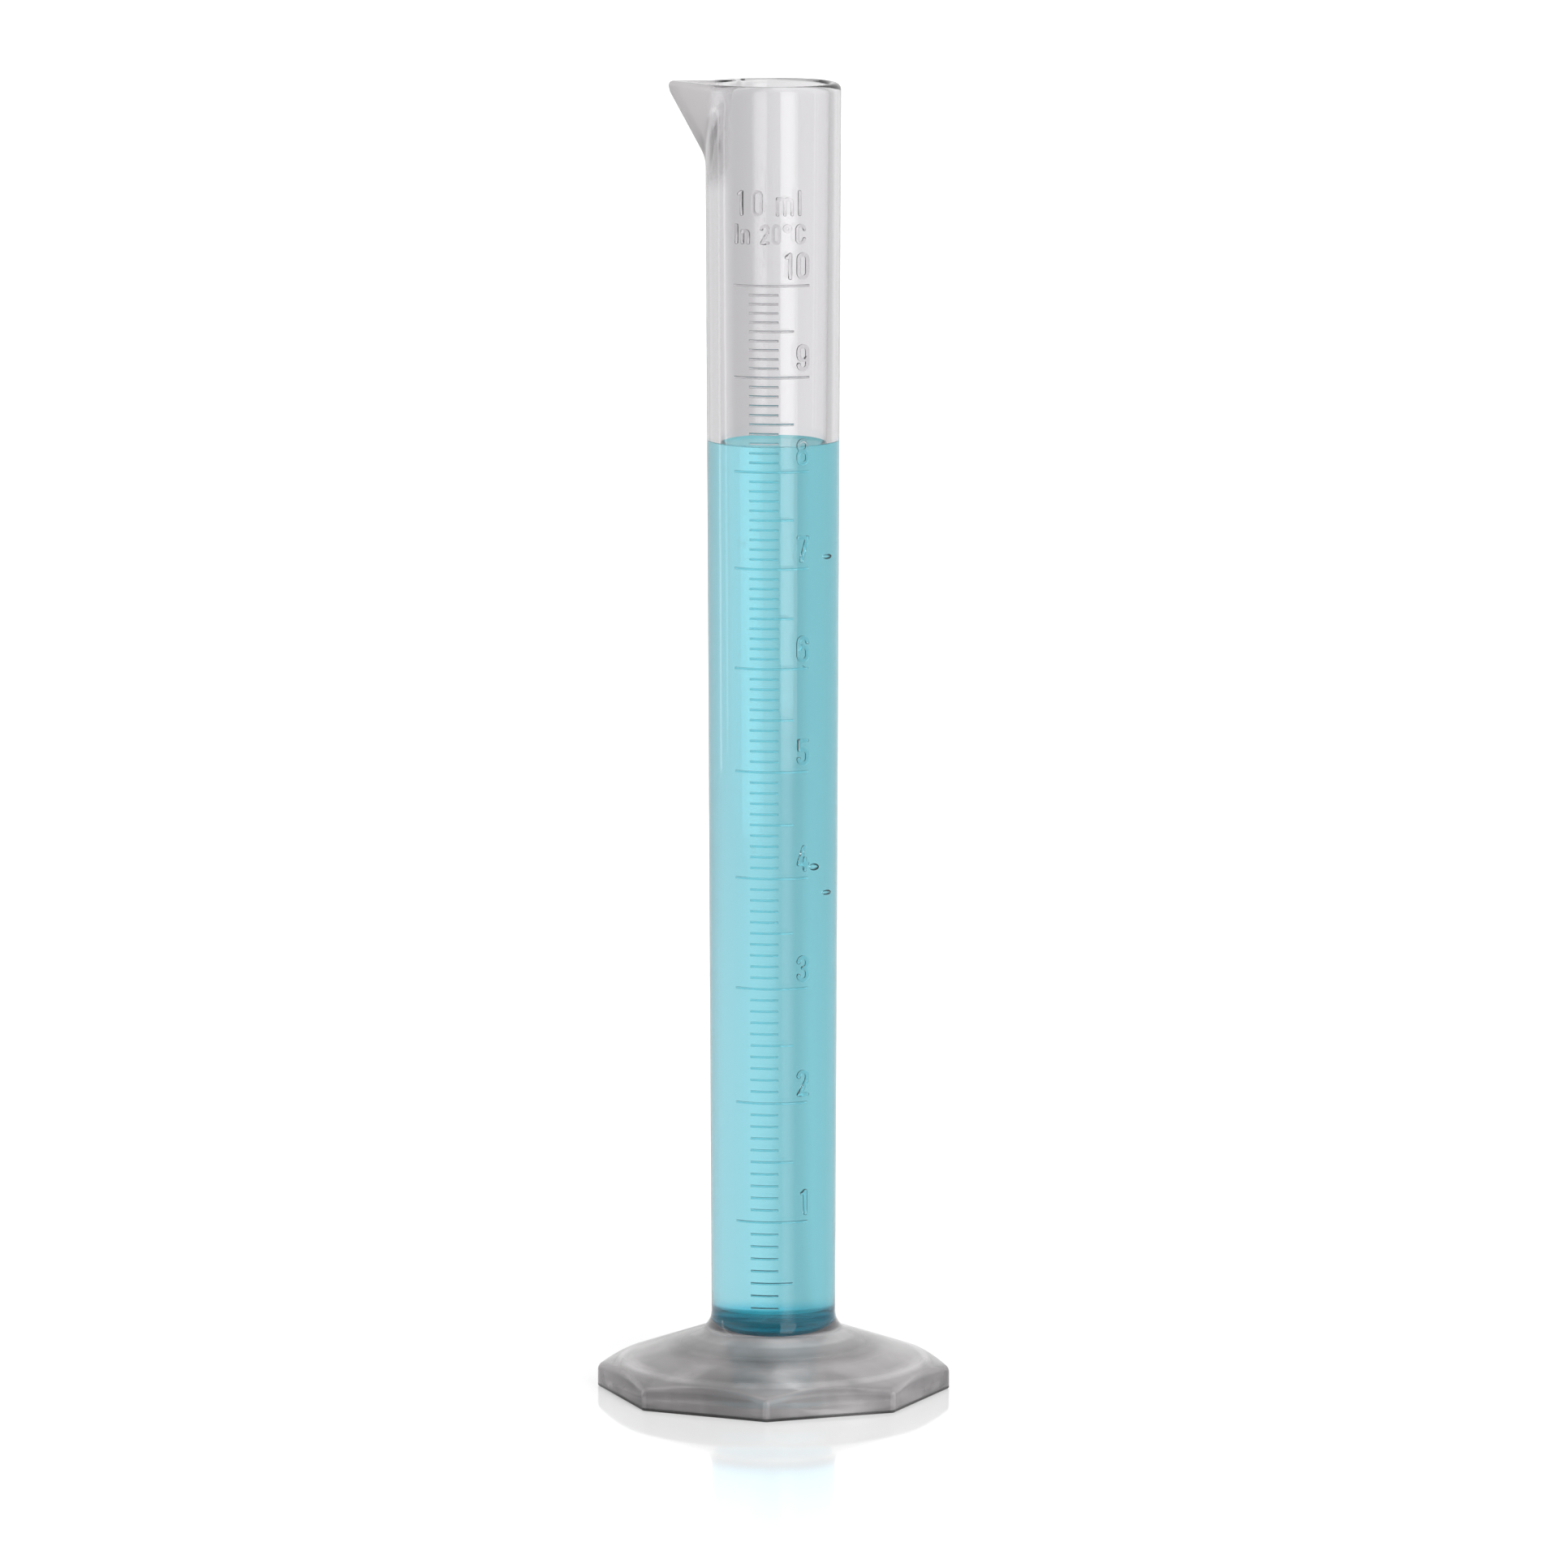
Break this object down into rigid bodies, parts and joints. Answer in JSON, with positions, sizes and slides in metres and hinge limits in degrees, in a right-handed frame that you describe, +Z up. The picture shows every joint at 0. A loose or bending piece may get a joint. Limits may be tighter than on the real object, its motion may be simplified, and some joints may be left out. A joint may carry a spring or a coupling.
{
  "type": "graduated cylinder",
  "caption": "Slim clear plastic measuring cylinder with a beaked spout, raised scale and numerals and an octagonal hollow foot, part filled with blue liquid.",
  "frame": {"origin": "middle of the foot's rest face, on the barrel's axis", "axes": "+Z up along the barrel, -X towards the spout, -Y towards the reader of the scale"},
  "size_m": [0.0378, 0.0378, 0.1402],
  "materials": {
    "clear_plastic": "clear moulded plastic, faintly grey, glossy with fine haze",
    "raised_marks": "clear plastic ridges moulded on the wall, glossy",
    "liquid": "clear cyan water-like liquid"
  },
  "bodies": {
    "root": {"barrel": "clear_plastic", "pouring_spout": "clear_plastic", "foot": "clear_plastic", "blue_liquid": "liquid", "millilitre_lines": "raised_marks", "half_millilitre_lines": "raised_marks", "tenth_millilitre_lines": "raised_marks", "numeral_1": "raised_marks", "numeral_2": "raised_marks", "numeral_3": "raised_marks", "numeral_4": "raised_marks", "numeral_5": "raised_marks", "numeral_6": "raised_marks", "numeral_7": "raised_marks", "numeral_8": "raised_marks", "numeral_9": "raised_marks", "numeral_10": "raised_marks", "capacity_mark": "raised_marks", "temperature_mark": "raised_marks"}
  },
  "joints": []
}
